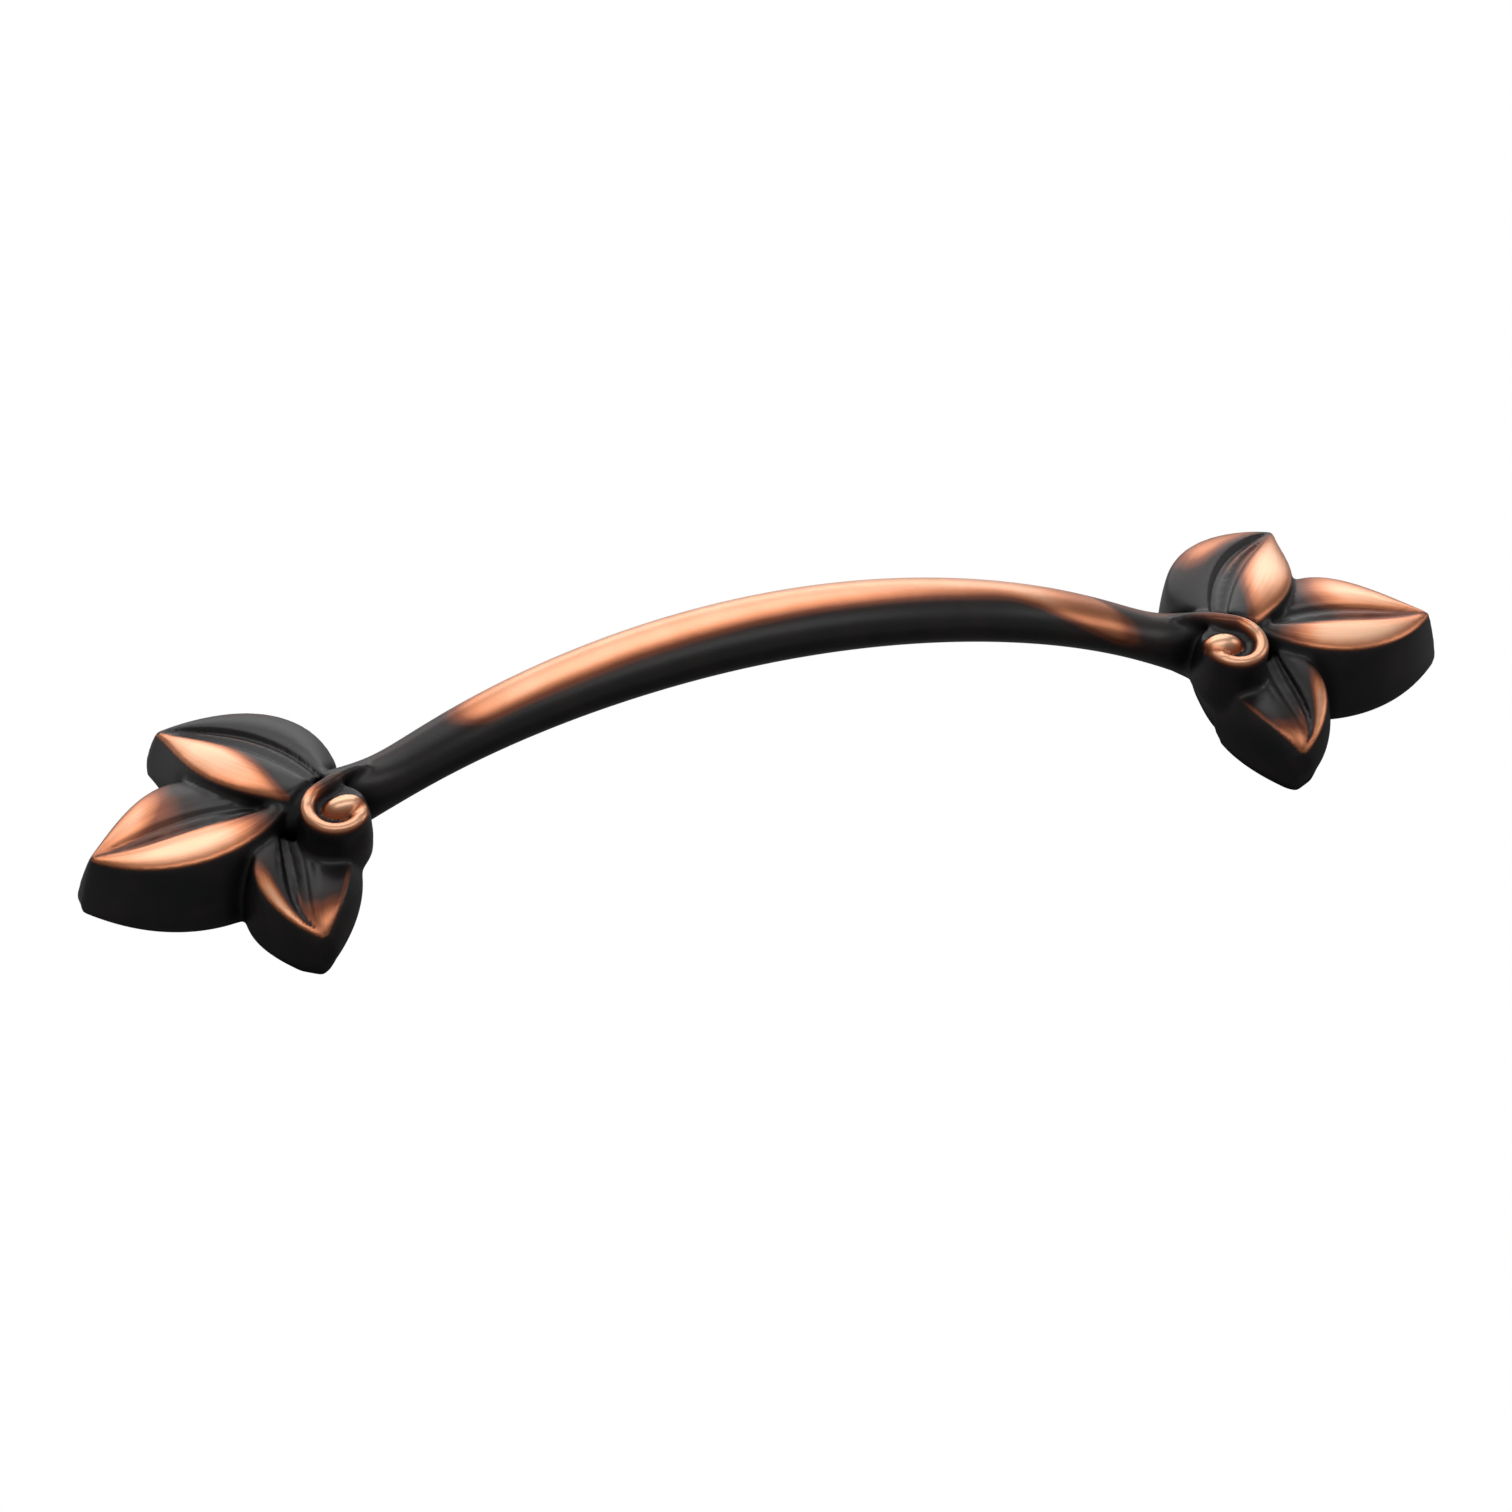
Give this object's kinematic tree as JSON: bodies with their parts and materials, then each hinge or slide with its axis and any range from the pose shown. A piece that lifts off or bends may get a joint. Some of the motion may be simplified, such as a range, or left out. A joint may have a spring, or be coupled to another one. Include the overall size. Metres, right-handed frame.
{
  "type": "leaf shaped drawer pull",
  "caption": "Arched cabinet pull cast in one piece, with a cluster of veined leaves and a small scroll at each end of a smooth bar.",
  "frame": {"origin": "on the mounting plane, midway between the two ends and under the bar's line", "axes": "+X along the bar, +Y towards the side of the longer back leaves, +Z away from the mounting surface"},
  "size_m": [0.1412, 0.0329, 0.0229],
  "materials": {
    "antique_copper": "antique copper plate: near-black patina in the recesses, raised parts rubbed back to satin copper"
  },
  "bodies": {
    "root": {"pull": "antique_copper"}
  },
  "joints": []
}
